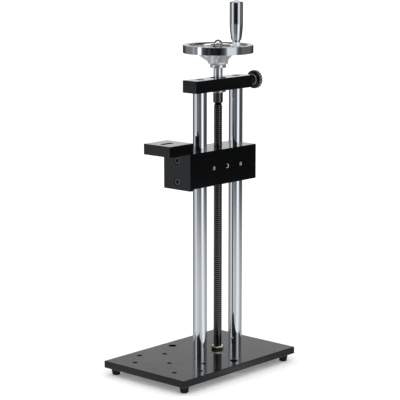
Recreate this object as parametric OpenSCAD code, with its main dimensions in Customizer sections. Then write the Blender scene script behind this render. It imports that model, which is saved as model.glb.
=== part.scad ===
// Hand-cranked test stand for a force gauge, in millimetres, +Z up, standing on z = 0.
// Two chromed columns carry a head bar. A lead screw between them, turned by a handwheel,
// raises and lowers a carriage whose front bracket holds the gauge over the base plate.

/* [Base plate] */
// Width of the base plate
plate_w = 154; // [140:1:180]
// Length of the base plate, front to back
plate_l = 240; // [236:1:280]
// Thickness of the base plate
plate_t = 10; // [8:0.5:14]
// Chamfer that breaks the sharp edges of plate, bar, carriage and bracket
edge_break = 0.6; // [0.2:0.1:1.2]
// Distance of the work pattern's centre in front of the front column
pattern_reach = 64.5; // [60:0.5:72]
// Hole pitch of the work pattern across the plate
pattern_w = 76; // [60:1:90]
// Hole pitch of the work pattern along the plate
pattern_l = 61; // [40:1:66]
// Diameter of the four work holes
work_hole_d = 6.5; // [4:0.1:9]
// Pitch of the two side holes beside the work pattern
side_pitch = 118; // [108:1:124]
// Diameter of the side holes
side_hole_d = 7; // [4:0.1:9]
// Diameter of the hole at the centre of the work pattern
centre_hole_d = 6; // [3:0.1:10]
// Pitch of the two bench holes beside the front column
bench_pitch = 119; // [100:1:122]
// Distance of the bench holes behind the front column
bench_back = 6; // [-10:0.5:20]
// Diameter of the bench holes
bench_hole_d = 11; // [7:0.1:13]

/* [Feet] */
// Height of the rubber feet
foot_h = 10.5; // [8:0.5:20]
// Diameter of a foot against the plate
foot_top_d = 14; // [12:0.5:18]
// Diameter of a foot on the bench
foot_low_d = 10.5; // [9.5:0.5:14]
// Distance of the feet from the plate's side edges
foot_inset_x = 11; // [9:0.5:16]
// Distance of the feet from the plate's front and back edges
foot_inset_y = 13; // [10:0.5:25]
// Thread diameter of the foot screws
foot_screw_d = 3; // [2.5:0.1:3.5]
// Depth to which the foot screws enter the plate
foot_screw_bite = 5; // [3:0.5:5.5]

/* [Columns] */
// Diameter of the columns
column_d = 20; // [16:0.5:22]
// Distance between the column axes
column_pitch = 77; // [76:0.5:84]
// Place of the front column along the plate
front_column_y = -2; // [-8:0.5:2]
// Free length of a column between plate and head bar
column_free = 379.8; // [360:0.2:420]
// Depth of the column seats in the plate
plate_seat = 2; // [1:0.5:2.5]
// Depth of the column seats in the head bar
bar_seat = 5; // [2:0.5:6]
// Thread diameter of the screws under the columns
base_screw_d = 8; // [6:0.5:8]
// Depth to which those screws enter the columns
base_screw_bite = 16; // [10:1:30]

/* [Head bar] */
// Width of the head bar
bar_w = 27; // [25:0.5:36]
// Length of the head bar
bar_l = 120; // [116:1:130]
// Height of the head bar
bar_h = 17.5; // [16.5:0.5:24]
// Thread diameter of the cap screws
cap_d = 6; // [5:0.5:6]
// Diameter of the cap screw heads
cap_head_d = 10; // [9:0.5:10.5]
// Height of the cap screw heads
cap_head_h = 6; // [4:0.5:6.5]
// Diameter of the counterbores for cap screws
counterbore_d = 11; // [11:0.5:13]
// Depth of a head's face below the mouth of its counterbore
head_sink = 0.5; // [0:0.1:1]
// Depth to which the bar screws enter the columns
cap_bite = 12; // [8:1:20]

/* [Bearings] */
// Outer diameter of the ball bearings
bearing_od = 22; // [21.5:0.5:24]
// Bore of the ball bearings, which is also the spindle's journal
bearing_id = 8; // [7:0.5:8.5]
// Width of the ball bearings
bearing_w = 7; // [6:0.5:7.5]
// Ball diameter
ball_d = 3.9; // [3.4:0.1:4]
// Balls in each bearing
ball_count = 7; // [5:1:8]
// Thickness of the shields that close a bearing
shield_t = 0.5; // [0.3:0.1:0.6]
// Depth of the shields below the bearing's faces
shield_sink = 0.4; // [0.3:0.1:0.6]
// Wall thickness of the ball cages
cage_t = 0.5; // [0.3:0.1:0.8]
// Width of a cage's rims beside the balls
cage_rim = 0.4; // [0.3:0.05:0.5]
// Depth of the upper bearing below the bar's top
upper_sink = 1; // [0.5:0.1:1.5]
// Length of the lower bearing that stands out below the bar
lower_drop = 2.5; // [1:0.1:4]
// Shoulder left in the bar between the bearing pockets
pocket_shoulder = 2.5; // [1.5:0.1:3]

/* [Lead screw] */
// Outside diameter of the lead screw's thread
screw_d = 12; // [10:0.5:13]
// Diameter of the thrust collar
collar_d = 14; // [13.5:0.5:16]
// Length of the thrust collar
collar_l = 14.2; // [10:0.2:20]
// Diameter of the relief below the collar
relief_d = 9.6; // [8.8:0.1:9.8]
// Length of the relief below the collar
relief_l = 3; // [1:0.5:5]
// Thickness of the thrust washer above the collar
thrust_t = 1.6; // [0.8:0.1:2]
// Diameter of the journal at the foot of the screw
foot_journal_d = 6; // [5:0.5:6.5]
// Width across flats of the brass foot bush
bush_flats = 16; // [14:0.5:20]
// Height of the foot bush above the plate
bush_h = 5.5; // [4:0.5:8]
// Wall left in the plate under the foot bush
bush_floor = 1; // [0.8:0.1:2]
// Diameter of the foot bush's spigot in the plate
bush_spigot_d = 10; // [9:0.5:12]

/* [Sleeve] */
// Diameter of the sleeve between head bar and handwheel
sleeve_d = 13; // [12.5:0.5:15]
// Length of the sleeve below its flange
sleeve_l = 15.2; // [10:0.2:25]
// Diameter of the sleeve's flange
flange_d = 22.7; // [18:0.1:26]
// Thickness of the sleeve's flange
flange_t = 4.5; // [3:0.5:7]

/* [Handwheel] */
// Outside diameter of the handwheel
wheel_d = 100; // [96:1:120]
// Height of the rim
rim_h = 11.1; // [9.5:0.1:14]
// Radial width of the rim
rim_w = 11; // [9:0.5:12]
// Height of the rim's lower edge above the hub's lower face
rim_rise = 16.8; // [15:0.2:20]
// Diameter of the hub
hub_d = 29; // [26:0.5:32]
// Height of the hub
hub_h = 18.5; // [16:0.5:22]
// Fillet round the hub's lower edge
hub_round = 3.5; // [1:0.5:4]
// Number of spokes
spoke_count = 3; // [3:1:5]
// Width of a spoke
spoke_w = 11; // [8:0.5:14]
// Thickness of a spoke
spoke_t = 7; // [5:0.5:8]
// Height of a spoke's middle inside the hub above the hub's lower face
spoke_start = 4; // [3.8:0.1:6]
// Radius of the bend where a spoke levels out
spoke_bend = 8; // [7:0.5:12]
// Level length of a spoke in front of the rim
spoke_flat = 2; // [1.5:0.1:4]
// Height of a spoke's middle above the rim's lower edge
spoke_seat = 4.1; // [4:0.1:6]
// Direction of the first spoke in degrees from +X
spoke_angle = -33; // [-36:1:-31]
// Width of the square key in the hub
key_w = 3; // [2:0.5:3]
// Length of the key
key_l = 12; // [8:0.5:14]
// Width across flats of the cap nut
nut_flats = 13; // [12:0.5:17]
// Height of the cap nut
nut_h = 15; // [13:0.5:18]
// Thickness of the washer under the cap nut
wheel_washer_t = 1.6; // [1:0.1:2.5]

/* [Revolving handle] */
// Direction of the handle in degrees from +X
handle_angle = -10; // [-12:1:-6]
// Distance of the handle's axis inside the wheel's outside
handle_inset = 9.5; // [7.5:0.5:10]
// Diameter of the boss in the rim that takes the handle
handle_boss_d = 14; // [13:0.5:16]
// Height of that boss above the rim
handle_boss_rise = 0.8; // [0.4:0.1:2]
// Thread diameter of the handle's stud
stud_d = 6; // [5:0.5:6.5]
// Depth of the stud's end inside the rim's lower face
stud_recess = 1.5; // [0.5:0.1:3]
// Diameter of the stud's collar
stud_collar_d = 11.6; // [10:0.1:12.5]
// Height of the stud's collar
stud_collar_h = 5.4; // [4:0.1:8]
// Diameter of the grip
grip_d = 18.8; // [17:0.2:22]
// Diameter of the grip's lower end
grip_low_d = 14.5; // [13:0.1:16]
// Diameter of the grip's neck
grip_neck_d = 11; // [9.5:0.1:12]
// Height of the grip's neck
grip_neck_h = 3; // [2:0.1:5]
// Length of the grip above its neck
grip_l = 52.8; // [44:0.1:70]
// Length of the grip's taper
grip_taper_l = 25; // [15:0.5:35]
// Diameter of the stud's domed end
dome_d = 7.4; // [7.2:0.1:9]
// Height of the domed end
dome_h = 2.4; // [1.5:0.1:3]

/* [Carriage] */
// Width of the carriage
carriage_w = 50; // [44:1:60]
// Height of the carriage
carriage_h = 50; // [48:1:60]
// Length of the carriage in front of the front column's axis
carriage_front = 40.5; // [36:0.5:44]
// Length of the carriage behind the rear column's axis
carriage_back = 16.5; // [16:0.5:24]
// Height of the carriage above the base plate
carriage_lift = 249; // [60:1:280]
// Wall thickness of the guide bushes
guide_wall = 3; // [2:0.5:3.5]
// Length of a guide bush
guide_l = 20; // [15:0.5:22]
// Thickness of the lip over the upper guide bushes
lip_t = 2.5; // [1.5:0.1:4]
// Body diameter of the lead nut
nut_body_d = 20; // [18:0.5:21]
// Length of the lead nut
nut_l = 32; // [24:1:40]
// Diameter of the lead nut's flange
nut_flange_d = 38; // [37:0.5:40]
// Thickness of the lead nut's flange
nut_flange_t = 7; // [6:0.5:9]
// Number of screws in the lead nut's flange
nut_screw_count = 3; // [3:1:4]
// Thread diameter of those screws
nut_screw_d = 4; // [3:0.5:4]
// Distance of the side holes' middle behind the front column
side_tap_back = 30.5; // [26:0.5:34]
// Pitch of the two small side holes
side_tap_pitch = 57; // [50:0.5:60]
// Diameter of the small side holes
side_tap_d = 4.2; // [3:0.1:5]
// Diameter of the middle side hole
mid_tap_d = 5; // [4:0.1:6.8]
// Depth of the side holes
side_tap_depth = 8; // [5:0.5:9]

/* [Gauge bracket] */
// Reach of the bracket's plate in front of the carriage
bracket_reach = 48; // [44:0.5:56]
// Thickness of the bracket's plate
bracket_t = 15; // [10:0.5:20]
// Thickness of the bracket's leg
leg_t = 7; // [6.5:0.5:9]
// Length of the leg below the carriage
leg_drop = 2.2; // [0:0.1:5]
// Width of the gauge slot
slot_w = 8; // [6:0.5:10]
// Length of the gauge slot
slot_l = 23.5; // [16:0.5:26]
// Distance of the slot's centre behind the bracket's front edge
slot_back = 20.5; // [18:0.5:22]
// Distance between the bracket screws
bracket_screw_pitch = 30; // [24:0.5:34]
// Height of the bracket screws' low heads
low_head_h = 4; // [3:0.5:4]
// Depth to which the bracket screws enter the carriage
bracket_bite = 12; // [8:1:14]

/* [Thumb screw] */
// Diameter of the fluted head
thumb_d = 26.5; // [22:0.5:30]
// Thickness of the fluted head
thumb_t = 6.5; // [5:0.5:7]
// Diameter of the collar
thumb_collar_d = 14.5; // [12:0.5:16]
// Length of the collar
thumb_collar_l = 14.6; // [8:0.1:15]
// Length of the cone between collar and head
thumb_cone_l = 2; // [1:0.1:2.2]
// Flutes round the head
flute_count = 24; // [12:1:30]
// Diameter of a flute
flute_d = 2.2; // [1.4:0.1:2.6]
// Thread diameter of the thumb screw
thumb_stud_d = 6; // [4:0.5:6]
// Depth to which the thumb screw enters the head bar
thumb_bite = 9; // [6:0.5:10]

/* [Fits] */
// Radial running clearance of journals, guides and threads that turn
running_gap = 0.05; // [0.02:0.01:0.08]
// Radial clearance of parts that are fixed in each other
seat_gap = 0.03; // [0.02:0.01:0.05]
// Clearance of faces that pass each other
face_gap = 0.15; // [0.1:0.05:0.4]
// Clearance between balls and raceways
race_gap = 0.15; // [0.1:0.01:0.2]
// Diametral clearance of screws in plain holes
screw_clear = 0.6; // [0.4:0.1:1]
// Radial clearance of shafts that only pass through a wall
pass_gap = 0.4; // [0.3:0.1:0.8]

/* [Hidden] */
$fn = 64;
eps = 0.01;
far = 400;
plate_top = foot_h + plate_t;
rear_column_y = front_column_y + column_pitch;
spindle_y = front_column_y + column_pitch / 2;
column_ys = [front_column_y, rear_column_y];
column_z0 = plate_top - plate_seat;
column_l = plate_seat + column_free + bar_seat;
bar_z0 = plate_top + column_free;
bar_top = bar_z0 + bar_h;
bar_back_y = spindle_y + bar_l / 2;
column_top = bar_z0 + bar_seat;
base_screw_head_d = 2 * base_screw_d;
base_screw_head_h = (base_screw_head_d - base_screw_d) / 2;
pattern_y = front_column_y - pattern_reach;
foot_recess_h = foot_h / 2;
foot_head_h = 0.75 * foot_screw_d;
upper_bearing_z0 = bar_top - upper_sink - bearing_w;
lower_bearing_z0 = bar_z0 - lower_drop;
ball_path_d = (bearing_od + bearing_id) / 2;
race_r = ball_d / 2 + race_gap;
race_land = ball_d / 2 - 0.35;
cage_h = ball_d + 2 * cage_rim;
bush_z0 = foot_h + bush_floor;
thread_z0 = plate_top + bush_h + face_gap;
collar_top = lower_bearing_z0 - thrust_t;
collar_z0 = collar_top - collar_l;
sleeve_z0 = upper_bearing_z0 + bearing_w;
hub_z0 = sleeve_z0 + sleeve_l + flange_t;
hub_top = hub_z0 + hub_h;
nut_z0 = hub_top + wheel_washer_t;
nut_hex_h = 0.5 * nut_h;
nut_dome_d = nut_flats - 0.5;
nut_bore_h = 0.65 * nut_h;
shaft_top = nut_z0 + nut_bore_h - 1;
key_z0 = hub_z0 + (hub_h - key_l) / 2;
key_depth = 0.6 * key_w;
rim_z0 = hub_z0 + rim_rise;
rim_top = rim_z0 + rim_h;
rim_in_r = wheel_d / 2 - rim_w;
spoke_end_z = rim_z0 + spoke_seat;
spoke_root_r = hub_d / 3.2;
spoke_level_r = rim_in_r - spoke_flat;
spoke_run = spoke_level_r - spoke_root_r;
spoke_climb = spoke_end_z - spoke_bend - hub_z0 - spoke_start;
spoke_slope = atan2(spoke_climb, spoke_run) + asin(spoke_bend / norm([spoke_run, spoke_climb]));
handle_r = wheel_d / 2 - handle_inset;
boss_top = rim_top + handle_boss_rise;
grip_z0 = boss_top + stud_collar_h + face_gap;
grip_foot_z = grip_z0 + grip_neck_h;
grip_top = grip_foot_z + grip_l;
carriage_z0 = plate_top + carriage_lift;
carriage_top = carriage_z0 + carriage_h;
carriage_y0 = front_column_y - carriage_front;
carriage_l = carriage_front + column_pitch + carriage_back;
guide_od = column_d + 2 * (running_gap + guide_wall);
nut_circle_r = (nut_body_d + nut_flange_d) / 4;
nut_head_d = 1.7 * nut_screw_d;
nut_head_h = nut_screw_d;
nut_screw_bite = 2.5 * nut_screw_d;
side_tap_y = front_column_y + side_tap_back;
side_tap_z = carriage_z0 + carriage_h / 2;
bracket_y0 = carriage_y0 - bracket_reach;
bracket_z0 = carriage_z0 - leg_drop;
bracket_top = carriage_top + bracket_t;
bracket_screw_z = carriage_z0 + carriage_h / 2 - 1;
thumb_z = (bar_z0 + bar_top) / 2;
thumb_y0 = bar_back_y + face_gap;
thumb_head_y = thumb_y0 + thumb_collar_l + thumb_cone_l;

// Outline of a rectangle with broken corners
module eased_rect(a, b) {
    c = edge_break;
    polygon([
        [-a / 2 + c, -b / 2], [a / 2 - c, -b / 2], [a / 2, -b / 2 + c], [a / 2, b / 2 - c],
        [a / 2 - c, b / 2], [-a / 2 + c, b / 2], [-a / 2, b / 2 - c], [-a / 2, -b / 2 + c]
    ]);
}

// Block with all its edges broken, standing on its lower face
module eased_block(x, y, z) {
    intersection() {
        linear_extrude(z)
            eased_rect(x, y);
        rotate([90, 0, 0])
            linear_extrude(y, center = true)
                translate([0, z / 2])
                    eased_rect(x, z);
        rotate([90, 0, 90])
            linear_extrude(x, center = true)
                translate([0, z / 2])
                    eased_rect(y, z);
    }
}

// Ring of rectangular section
module ring(od, id, h) {
    difference() {
        cylinder(d = od, h = h);
        translate([0, 0, -eps])
            cylinder(d = id, h = h + 2 * eps);
    }
}

// Hole whose mouth is chamfered at z = depth, cut downwards
module chamfered_hole(d, depth, chamfer) {
    cylinder(d = d, h = depth + eps);
    translate([0, 0, depth - chamfer])
        cylinder(d1 = d, d2 = d + 2 * chamfer + 2 * eps, h = chamfer + eps);
}

// Hexagonal prism given by its width across flats
module hexagon(flats, h) {
    cylinder(d = flats / cos(30), h = h, $fn = 6);
}

// Socket screw whose head rests on z = 0 and whose thread hangs below
module socket_screw(d, head_d, head_h, length) {
    difference() {
        union() {
            translate([0, 0, -length])
                cylinder(d = d, h = length + eps);
            cylinder(d = head_d, h = head_h);
        }
        translate([0, 0, 0.5 * head_h])
            hexagon(0.8 * d, head_h);
    }
}

// Stadium outline, t thick along X and w wide along Y
module stadium(t, w) {
    square([t, w - t], center = true);
    for (side = [-1, 1])
        translate([0, side * (w - t) / 2])
            circle(d = t);
}

// Places its children at the four feet
module at_feet() {
    for (x = [-1, 1], y = [-1, 1])
        translate([x * (plate_w / 2 - foot_inset_x), y * (plate_l / 2 - foot_inset_y), 0])
            children();
}

// Places its children on both column axes
module at_columns() {
    for (y = column_ys)
        translate([0, y, 0])
            children();
}

// Places its children on the spindle axis
module at_spindle(z) {
    translate([0, spindle_y, z])
        children();
}

// Places its children on the handle axis
module at_handle(z) {
    at_spindle(z)
        rotate([0, 0, handle_angle])
            translate([handle_r, 0, 0])
                children();
}

// Work, side, centre and bench holes of the base plate, as cutters
module plate_holes() {
    for (x = [-1, 1]) {
        for (y = [-1, 1])
            translate([x * pattern_w / 2, pattern_y + y * pattern_l / 2, foot_h - eps])
                chamfered_hole(work_hole_d, plate_t + eps, edge_break);
        translate([x * side_pitch / 2, pattern_y, foot_h - eps])
            chamfered_hole(side_hole_d, plate_t + eps, edge_break);
        translate([x * bench_pitch / 2, front_column_y + bench_back, foot_h - eps])
            chamfered_hole(bench_hole_d, plate_t + eps, edge_break);
    }
    translate([0, pattern_y, foot_h - eps])
        chamfered_hole(centre_hole_d, plate_t + eps, edge_break);
}

module base_plate() {
    color([0.2, 0.2, 0.21])
    difference() {
        translate([0, 0, foot_h])
            eased_block(plate_w, plate_l, plate_t);
        plate_holes();
        at_feet()
            translate([0, 0, foot_h - eps])
                cylinder(d = foot_screw_d + 2 * seat_gap, h = foot_screw_bite + 0.5);
        at_columns() {
            translate([0, 0, column_z0])
                cylinder(d = column_d + 2 * seat_gap, h = plate_seat + eps);
            translate([0, 0, foot_h - eps])
                cylinder(d = base_screw_d + 2 * seat_gap, h = plate_t);
            translate([0, 0, foot_h - eps])
                cylinder(
                    d1 = base_screw_head_d + 2 * seat_gap,
                    d2 = base_screw_d + 2 * seat_gap,
                    h = base_screw_head_h
                );
        }
        at_spindle(foot_h - eps)
            cylinder(d = bush_spigot_d + 2 * seat_gap, h = plate_t + 2 * eps);
    }
}

module rubber_feet() {
    color([0.06, 0.06, 0.06])
    at_feet()
        difference() {
            union() {
                cylinder(d1 = foot_low_d - 1, d2 = foot_low_d, h = 0.5);
                translate([0, 0, 0.5])
                    cylinder(d1 = foot_low_d, d2 = foot_top_d, h = foot_h - 0.5);
            }
            translate([0, 0, -eps])
                cylinder(d = 2.1 * foot_screw_d, h = foot_recess_h);
            cylinder(d = foot_screw_d + 2 * seat_gap, h = foot_h + eps);
        }
}

module foot_screws() {
    color([0.7, 0.7, 0.72])
    at_feet()
        translate([0, 0, foot_recess_h - eps])
            rotate([180, 0, 0])
                socket_screw(
                    foot_screw_d,
                    1.85 * foot_screw_d,
                    foot_head_h,
                    foot_h - foot_recess_h + foot_screw_bite
                );
}

// One column with chamfered ends and a tapped hole at each end
module column() {
    chamfer = 0.8;
    difference() {
        union() {
            cylinder(d1 = column_d - 2 * chamfer, d2 = column_d, h = chamfer);
            translate([0, 0, chamfer])
                cylinder(d = column_d, h = column_l - 2 * chamfer);
            translate([0, 0, column_l - chamfer])
                cylinder(d1 = column_d, d2 = column_d - 2 * chamfer, h = chamfer);
        }
        translate([0, 0, -eps])
            cylinder(d = base_screw_d + 2 * seat_gap, h = base_screw_bite + 1);
        translate([0, 0, column_l - cap_bite - 1])
            cylinder(d = cap_d + 2 * seat_gap, h = cap_bite + 1 + eps);
    }
}

module front_column() {
    color([0.85, 0.86, 0.88])
    translate([0, front_column_y, column_z0])
        column();
}

module rear_column() {
    color([0.85, 0.86, 0.88])
    translate([0, rear_column_y, column_z0])
        column();
}

module column_base_screws() {
    color([0.12, 0.12, 0.12])
    at_columns()
        translate([0, 0, foot_h])
            difference() {
                union() {
                    cylinder(d1 = base_screw_head_d, d2 = base_screw_d, h = base_screw_head_h);
                    cylinder(d = base_screw_d, h = plate_t - plate_seat + base_screw_bite);
                }
                translate([0, 0, -eps])
                    hexagon(0.6 * base_screw_d, 0.6 * base_screw_head_h);
            }
}

module top_bar() {
    color([0.07, 0.07, 0.075])
    difference() {
        at_spindle(bar_z0)
            eased_block(bar_w, bar_l, bar_h);
        at_columns() {
            translate([0, 0, bar_z0 - eps])
                cylinder(d = column_d + 2 * seat_gap, h = bar_seat + eps);
            translate([0, 0, bar_z0])
                cylinder(d = cap_d + screw_clear, h = bar_h);
            translate([0, 0, bar_top - cap_head_h - head_sink])
                chamfered_hole(counterbore_d, cap_head_h + head_sink, edge_break);
        }
        at_spindle(bar_z0) {
            cylinder(d = bearing_od - 2 * pocket_shoulder, h = bar_h);
            translate([0, 0, -eps])
                cylinder(d = bearing_od + 2 * seat_gap, h = bearing_w - lower_drop + eps);
        }
        at_spindle(upper_bearing_z0)
            chamfered_hole(bearing_od + 2 * seat_gap, bearing_w + upper_sink, upper_sink);
        translate([0, bar_back_y + eps, thumb_z])
            rotate([90, 0, 0])
                cylinder(d = thumb_stud_d + 2 * running_gap, h = thumb_bite + 1);
    }
}

module bar_cap_screws() {
    color([0.12, 0.12, 0.12])
    at_columns()
        translate([0, 0, bar_top - head_sink - cap_head_h])
            socket_screw(
                cap_d,
                cap_head_d,
                cap_head_h,
                bar_h - head_sink - cap_head_h - bar_seat + cap_bite
            );
}

// Outer ring of a ball bearing with its raceway, standing on z = 0
module bearing_outer_ring() {
    difference() {
        ring(bearing_od, ball_path_d + 2 * race_land, bearing_w);
        ball_track();
    }
}

// Inner ring of a ball bearing with its raceway
module bearing_inner_ring() {
    difference() {
        ring(ball_path_d - 2 * race_land, bearing_id + 2 * seat_gap, bearing_w);
        ball_track();
    }
}

// Round groove in which the balls run
module ball_track() {
    translate([0, 0, bearing_w / 2])
        rotate_extrude()
            translate([ball_path_d / 2, 0])
                circle(r = race_r);
}

// Thin shields that close the gap between the rings
module bearing_shields() {
    for (z = [shield_sink, bearing_w - shield_sink - shield_t])
        translate([0, 0, z])
            ring(
                ball_path_d + 2 * race_land - 2 * seat_gap,
                ball_path_d - 2 * race_land + 4 * face_gap,
                shield_t
            );
}

// Balls of one bearing
module bearing_balls() {
    for (i = [0 : ball_count - 1])
        rotate([0, 0, i * 360 / ball_count])
            translate([ball_path_d / 2, 0, bearing_w / 2])
                sphere(d = ball_d);
}

// Cage ring with a pocket round every ball
module bearing_cage() {
    difference() {
        translate([0, 0, (bearing_w - cage_h) / 2])
            ring(ball_path_d + cage_t, ball_path_d - cage_t, cage_h);
        for (i = [0 : ball_count - 1])
            rotate([0, 0, i * 360 / ball_count])
                translate([ball_path_d / 2 - cage_t, 0, bearing_w / 2])
                    rotate([0, 90, 0])
                        cylinder(d = ball_d + 2 * seat_gap, h = 2 * cage_t);
    }
}

module upper_bearing_outer_ring() {
    color([0.75, 0.75, 0.77])
    at_spindle(upper_bearing_z0)
        bearing_outer_ring();
}

module upper_bearing_shields() {
    color([0.55, 0.55, 0.56])
    at_spindle(upper_bearing_z0)
        bearing_shields();
}

module upper_bearing_inner_ring() {
    color([0.75, 0.75, 0.77])
    at_spindle(upper_bearing_z0)
        bearing_inner_ring();
}

module upper_bearing_balls() {
    color([0.85, 0.85, 0.87])
    at_spindle(upper_bearing_z0)
        bearing_balls();
}

module upper_bearing_cage() {
    color([0.6, 0.55, 0.4])
    at_spindle(upper_bearing_z0)
        bearing_cage();
}

module lower_bearing_outer_ring() {
    color([0.75, 0.75, 0.77])
    at_spindle(lower_bearing_z0)
        bearing_outer_ring();
}

module lower_bearing_shields() {
    color([0.55, 0.55, 0.56])
    at_spindle(lower_bearing_z0)
        bearing_shields();
}

module lower_bearing_inner_ring() {
    color([0.75, 0.75, 0.77])
    at_spindle(lower_bearing_z0)
        bearing_inner_ring();
}

module lower_bearing_balls() {
    color([0.85, 0.85, 0.87])
    at_spindle(lower_bearing_z0)
        bearing_balls();
}

module lower_bearing_cage() {
    color([0.6, 0.55, 0.4])
    at_spindle(lower_bearing_z0)
        bearing_cage();
}

module foot_bush() {
    color([0.72, 0.55, 0.25])
    difference() {
        union() {
            at_spindle(bush_z0)
                cylinder(d = bush_spigot_d, h = plate_top - bush_z0 + eps);
            intersection() {
                at_spindle(plate_top)
                    hexagon(bush_flats, bush_h);
                at_spindle(plate_top) {
                    cylinder(d = bush_flats / cos(30), h = bush_h - 1);
                    translate([0, 0, bush_h - 1])
                        cylinder(d1 = bush_flats / cos(30), d2 = bush_flats - 1, h = 1);
                }
            }
        }
        at_spindle(bush_z0 - eps)
            cylinder(d = foot_journal_d + 2 * running_gap, h = plate_t + bush_h);
    }
}

// Lead screw, from its foot journal to the threaded end under the cap nut
module lead_screw() {
    chamfer = 1;
    color([0.08, 0.08, 0.08])
    difference() {
        union() {
            at_spindle(bush_z0 + 0.5)
                cylinder(d = foot_journal_d, h = thread_z0 - bush_z0);
            at_spindle(thread_z0)
                cylinder(d1 = screw_d - 2 * chamfer, d2 = screw_d, h = chamfer);
            at_spindle(thread_z0 + chamfer)
                cylinder(d = screw_d, h = collar_z0 - relief_l - thread_z0 - 2 * chamfer);
            at_spindle(collar_z0 - relief_l - chamfer)
                cylinder(d1 = screw_d, d2 = relief_d, h = chamfer);
            at_spindle(collar_z0 - relief_l - eps)
                cylinder(d = relief_d, h = relief_l + 2 * eps);
            at_spindle(collar_z0)
                cylinder(d1 = collar_d - 2 * chamfer, d2 = collar_d, h = chamfer);
            at_spindle(collar_z0 + chamfer)
                cylinder(d = collar_d, h = collar_l - chamfer);
            at_spindle(collar_top - eps)
                cylinder(d = bearing_id, h = shaft_top - collar_top);
        }
        at_spindle(key_z0 - seat_gap)
            translate([bearing_id / 2 - key_depth - seat_gap, -key_w / 2 - seat_gap, 0])
                cube([key_w, key_w + 2 * seat_gap, key_l + 2 * seat_gap]);
    }
}

module thrust_washer() {
    color([0.85, 0.85, 0.86])
    at_spindle(collar_top)
        ring(collar_d, bearing_id + 2 * seat_gap, thrust_t);
}

module bearing_spacer() {
    color([0.6, 0.6, 0.62])
    at_spindle(lower_bearing_z0 + bearing_w)
        ring(
            ball_path_d - 2 * race_land,
            bearing_id + 2 * seat_gap,
            upper_bearing_z0 - lower_bearing_z0 - bearing_w
        );
}

module flanged_sleeve() {
    round_r = 0.8;
    color([0.85, 0.86, 0.88])
    at_spindle(sleeve_z0)
        rotate_extrude() {
            translate([bearing_id / 2 + seat_gap, 0])
                square([(sleeve_d - bearing_id) / 2 - seat_gap, sleeve_l + flange_t]);
            translate([bearing_id / 2 + seat_gap, sleeve_l])
                square([(flange_d - bearing_id) / 2 - seat_gap - round_r, flange_t]);
            translate([flange_d / 2 - round_r, sleeve_l + round_r])
                square([round_r, flange_t - 2 * round_r]);
            for (z = [round_r, flange_t - round_r])
                translate([flange_d / 2 - round_r, sleeve_l + z])
                    circle(r = round_r);
        }
}

// Section of the rim: nearly square outside, well rounded inside
module rim_section() {
    outer_r = 0.6;
    inner_r = 4;
    translate([rim_in_r + inner_r, 0])
        square([rim_w - inner_r - outer_r, rim_h]);
    translate([rim_in_r, inner_r])
        square([inner_r, rim_h - 2 * inner_r]);
    translate([wheel_d / 2 - outer_r, outer_r])
        square([outer_r, rim_h - 2 * outer_r]);
    for (z = [inner_r, rim_h - inner_r])
        translate([rim_in_r + inner_r, z])
            circle(r = inner_r);
    for (z = [outer_r, rim_h - outer_r])
        translate([wheel_d / 2 - outer_r, z])
            circle(r = outer_r);
}

// Section of the hub with its rounded lower edge
module hub_section() {
    square([hub_d / 2 - hub_round, hub_h]);
    translate([hub_d / 2 - hub_round, hub_round])
        square([hub_round, hub_h - hub_round]);
    translate([hub_d / 2 - hub_round, hub_round])
        circle(r = hub_round);
}

// Spoke along +X: a sloping bar from the hub, a bend set into both bars, and a level end in the rim
module spoke() {
    overlap = 3;
    inset = 0.05;
    bend_r = spoke_level_r - spoke_bend * sin(spoke_slope);
    bend_z = spoke_end_z - spoke_bend * (1 - cos(spoke_slope));
    bar_l = (bend_r - spoke_root_r) / cos(spoke_slope);
    translate([bend_r, 0, bend_z])
        rotate([0, -90 - spoke_slope, 0])
            linear_extrude(bar_l)
                stadium(spoke_t, spoke_w);
    translate([spoke_level_r, 0, spoke_end_z - spoke_bend])
        rotate([90, 0, 0])
            rotate([0, 0, 90 - overlap])
                rotate_extrude(angle = spoke_slope + 2 * overlap)
                    translate([spoke_bend, 0])
                        stadium(spoke_t - 2 * inset, spoke_w - 2 * inset);
    translate([spoke_level_r, 0, spoke_end_z])
        rotate([0, 90, 0])
            linear_extrude(spoke_flat + rim_w / 2)
                stadium(spoke_t, spoke_w);
}

module handwheel() {
    color([0.72, 0.73, 0.74])
    difference() {
        union() {
            at_spindle(hub_z0)
                rotate_extrude()
                    hub_section();
            at_spindle(rim_z0)
                rotate_extrude()
                    rim_section();
            for (i = [0 : spoke_count - 1])
                at_spindle(0)
                    rotate([0, 0, spoke_angle + i * 360 / spoke_count])
                        spoke();
            at_handle(rim_z0 + 0.6)
                cylinder(d = handle_boss_d, h = boss_top - rim_z0 - 0.6);
        }
        at_spindle(hub_z0 - eps)
            cylinder(d = bearing_id + 2 * seat_gap, h = hub_h + 2 * eps);
        at_spindle(hub_z0 - eps)
            translate([0, -key_w / 2 - seat_gap, 0])
                cube([
                    bearing_id / 2 - key_depth + key_w + seat_gap,
                    key_w + 2 * seat_gap,
                    hub_h + 2 * eps
                ]);
        at_handle(rim_z0)
            cylinder(d = stud_d + 2 * seat_gap, h = far);
    }
}

module wheel_key() {
    color([0.6, 0.6, 0.62])
    at_spindle(key_z0)
        translate([bearing_id / 2 - key_depth, -key_w / 2, 0])
            cube([key_w, key_w, key_l]);
}

module wheel_washer() {
    color([0.85, 0.86, 0.88])
    at_spindle(hub_top)
        ring(1.3 * nut_flats, bearing_id + 2 * seat_gap, wheel_washer_t);
}

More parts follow.
